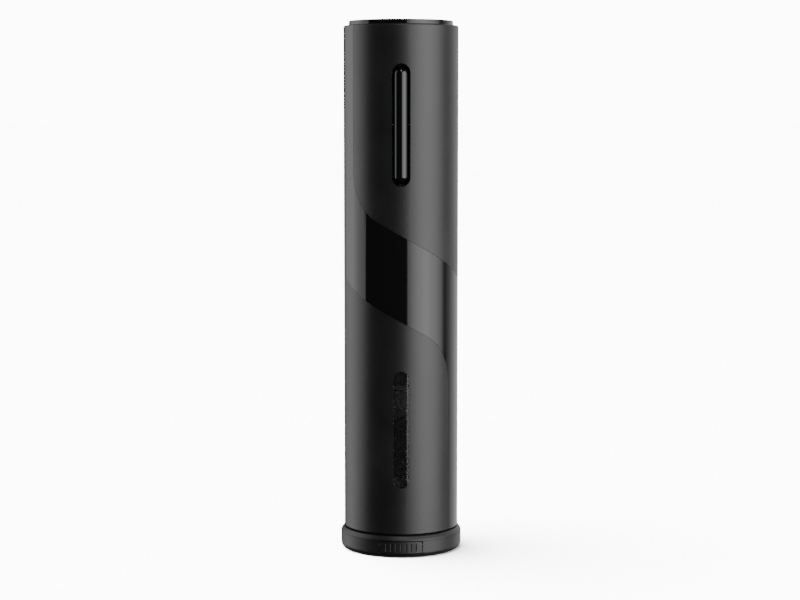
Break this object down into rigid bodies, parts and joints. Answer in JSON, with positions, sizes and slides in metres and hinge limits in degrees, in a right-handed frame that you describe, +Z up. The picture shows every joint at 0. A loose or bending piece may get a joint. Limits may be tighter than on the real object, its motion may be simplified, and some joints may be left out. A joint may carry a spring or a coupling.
{
  "type": "electric wine opener",
  "caption": "Slim upright cylindrical battery wine opener with satin shells and a glossy band, rocker button, clear window, turning worm, geared motor and clip-on foil cutter base.",
  "frame": {"origin": "on the floor, at the centre of the foil cutter's underside, on the cylinder's axis", "axes": "+Z up along the cylinder's axis, -Y towards the front with the button and the window, +X to the right seen from the front"},
  "size_m": [0.052, 0.052, 0.2263],
  "materials": {
    "satin_black": "satin soft-touch black ABS",
    "gloss_black": "polished black ABS",
    "button_gloss": "polished black ABS",
    "cap_gloss": "polished black ABS",
    "inner_black": "moulded black ABS",
    "seat_black": "moulded black acetal",
    "clear_window": "clear moulded polycarbonate",
    "worm_coat": "dark non-stick coating on drawn steel wire",
    "turned_steel": "turned steel",
    "zinc_plate": "zinc-plated sheet steel",
    "armature_iron": "laminations with enamelled winding",
    "bearing_brass": "sintered bronze",
    "gear_white": "moulded acetal",
    "board_green": "glass-fibre board with solder mask",
    "cell_wrap": "steel can in a printed-free sleeve",
    "magnet_ferrite": "sintered ferrite"
  },
  "bodies": {
    "housing": {"inner_tube": "inner_black", "upper_shell": "satin_black", "lower_shell": "satin_black", "gloss_band": "gloss_black", "window_lens": "clear_window", "neck_guide": "inner_black", "bottle_seat": "seat_black", "cork_chamber": "inner_black", "gearbox_floor": "inner_black", "output_bearing": "bearing_brass", "ring_gear": "gear_white", "gearbox_cover": "inner_black", "gearbox_screw_1": "turned_steel", "gearbox_screw_2": "turned_steel", "motor_can": "zinc_plate", "motor_end_cap": "gear_white", "motor_magnet_left": "magnet_ferrite", "motor_magnet_right": "magnet_ferrite", "motor_sleeve": "inner_black", "battery_base": "inner_black", "battery_holder": "inner_black", "cell_1": "cell_wrap", "cell_2": "cell_wrap", "cell_3": "cell_wrap", "cell_4": "cell_wrap", "contact_plus": "zinc_plate", "contact_minus": "zinc_plate", "contact_link": "zinc_plate", "switch_board": "board_green", "up_switch": "inner_black", "down_switch": "inner_black", "button_bracket": "inner_black", "button_pin": "seat_black"},
    "worm_drive": {"worm": "worm_coat", "worm_chuck": "turned_steel", "output_carrier": "turned_steel"},
    "middle_stage": {"middle_carrier": "turned_steel"},
    "rotor": {"motor_shaft": "turned_steel", "motor_armature": "armature_iron", "motor_pinion": "bearing_brass"},
    "rocker": {"rocker_button": "button_gloss"},
    "cap": {"top_cap": "cap_gloss", "cap_contact_left": "zinc_plate", "cap_contact_right": "zinc_plate"},
    "foil_cutter": {"cutter_base": "satin_black", "cutter_cover": "satin_black", "jaw_spring_left": "turned_steel", "jaw_spring_right": "turned_steel"},
    "front_jaw": {"cutter_jaw_front": "satin_black"},
    "rear_jaw": {"cutter_jaw_rear": "satin_black"},
    "gear_1a": {"planet_1a": "gear_white"},
    "gear_1b": {"planet_1b": "gear_white"},
    "gear_1c": {"planet_1c": "gear_white"},
    "gear_2a": {"planet_2a": "gear_white"},
    "gear_2b": {"planet_2b": "gear_white"},
    "gear_2c": {"planet_2c": "gear_white"},
    "wheel_front_1": {"cutter_wheel_front_1": "turned_steel"},
    "wheel_front_2": {"cutter_wheel_front_2": "turned_steel"},
    "wheel_rear_1": {"cutter_wheel_rear_1": "turned_steel"},
    "wheel_rear_2": {"cutter_wheel_rear_2": "turned_steel"}
  },
  "joints": [
    {"name": "rotor_spin", "type": "hinge", "parent": "housing", "child": "rotor", "pos_m": [0, 0, 0.1368], "axis": [0, 0, 1], "continuous": true},
    {"name": "middle_spin", "type": "hinge", "parent": "housing", "child": "middle_stage", "pos_m": [0, 0, 0.1269], "axis": [0, 0, 1], "continuous": true},
    {"name": "worm_spin", "type": "hinge", "parent": "housing", "child": "worm_drive", "pos_m": [0, 0, 0.1193], "axis": [0, 0, 1], "continuous": true},
    {"name": "planet_1a_spin", "type": "hinge", "parent": "middle_stage", "child": "gear_1a", "pos_m": [0.0102, 0, 0.1292], "axis": [0, 0, 1], "continuous": true},
    {"name": "planet_1b_spin", "type": "hinge", "parent": "middle_stage", "child": "gear_1b", "pos_m": [-0.0051, 0.00883, 0.1292], "axis": [0, 0, 1], "continuous": true},
    {"name": "planet_1c_spin", "type": "hinge", "parent": "middle_stage", "child": "gear_1c", "pos_m": [-0.0051, -0.00883, 0.1292], "axis": [0, 0, 1], "continuous": true},
    {"name": "planet_2a_spin", "type": "hinge", "parent": "worm_drive", "child": "gear_2a", "pos_m": [0.0102, 0, 0.1216], "axis": [0, 0, 1], "continuous": true},
    {"name": "planet_2b_spin", "type": "hinge", "parent": "worm_drive", "child": "gear_2b", "pos_m": [-0.0051, 0.00883, 0.1216], "axis": [0, 0, 1], "continuous": true},
    {"name": "planet_2c_spin", "type": "hinge", "parent": "worm_drive", "child": "gear_2c", "pos_m": [-0.0051, -0.00883, 0.1216], "axis": [0, 0, 1], "continuous": true},
    {"name": "button_rock", "type": "hinge", "parent": "housing", "child": "rocker", "pos_m": [0, -0.0199, 0.1823], "axis": [1, 0, 0], "range_deg": [-2, 2], "stiffness_Nm_per_rad": 0.5},
    {"name": "cap_lift", "type": "slide", "parent": "housing", "child": "cap", "axis": [0, 0, 1], "range_m": [0, 0.03]},
    {"name": "foil_cutter_release", "type": "slide", "parent": "housing", "child": "foil_cutter", "axis": [0, 0, -1], "range_m": [0, 0.035]},
    {"name": "front_jaw_squeeze", "type": "slide", "parent": "foil_cutter", "child": "front_jaw", "axis": [0, 1, 0], "range_m": [0, 0.0035], "stiffness_N_per_m": 300, "springref_m": -0.003, "deforming": ["jaw_spring_left", "jaw_spring_right"]},
    {"name": "rear_jaw_squeeze", "type": "slide", "parent": "foil_cutter", "child": "rear_jaw", "axis": [0, -1, 0], "range_m": [0, 0.0035], "stiffness_N_per_m": 300, "springref_m": -0.003, "deforming": ["jaw_spring_left", "jaw_spring_right"]},
    {"name": "wheel_front_1_spin", "type": "hinge", "parent": "front_jaw", "child": "wheel_front_1", "pos_m": [-0.01244, -0.01592, 0.0037], "axis": [0, 0, 1], "continuous": true},
    {"name": "wheel_front_2_spin", "type": "hinge", "parent": "front_jaw", "child": "wheel_front_2", "pos_m": [0.01244, -0.01592, 0.0037], "axis": [0, 0, 1], "continuous": true},
    {"name": "wheel_rear_1_spin", "type": "hinge", "parent": "rear_jaw", "child": "wheel_rear_1", "pos_m": [0.01244, 0.01592, 0.0037], "axis": [0, 0, 1], "continuous": true},
    {"name": "wheel_rear_2_spin", "type": "hinge", "parent": "rear_jaw", "child": "wheel_rear_2", "pos_m": [-0.01244, 0.01592, 0.0037], "axis": [0, 0, 1], "continuous": true}
  ],
  "couplings": [
    {"joint": "middle_spin", "follows": "rotor_spin", "ratio": 0.1875},
    {"joint": "worm_spin", "follows": "rotor_spin", "ratio": 0.035156},
    {"joint": "planet_1a_spin", "follows": "rotor_spin", "ratio": -0.4875},
    {"joint": "planet_1b_spin", "follows": "rotor_spin", "ratio": -0.4875},
    {"joint": "planet_1c_spin", "follows": "rotor_spin", "ratio": -0.4875},
    {"joint": "planet_2a_spin", "follows": "rotor_spin", "ratio": -0.091406},
    {"joint": "planet_2b_spin", "follows": "rotor_spin", "ratio": -0.091406},
    {"joint": "planet_2c_spin", "follows": "rotor_spin", "ratio": -0.091406}
  ]
}
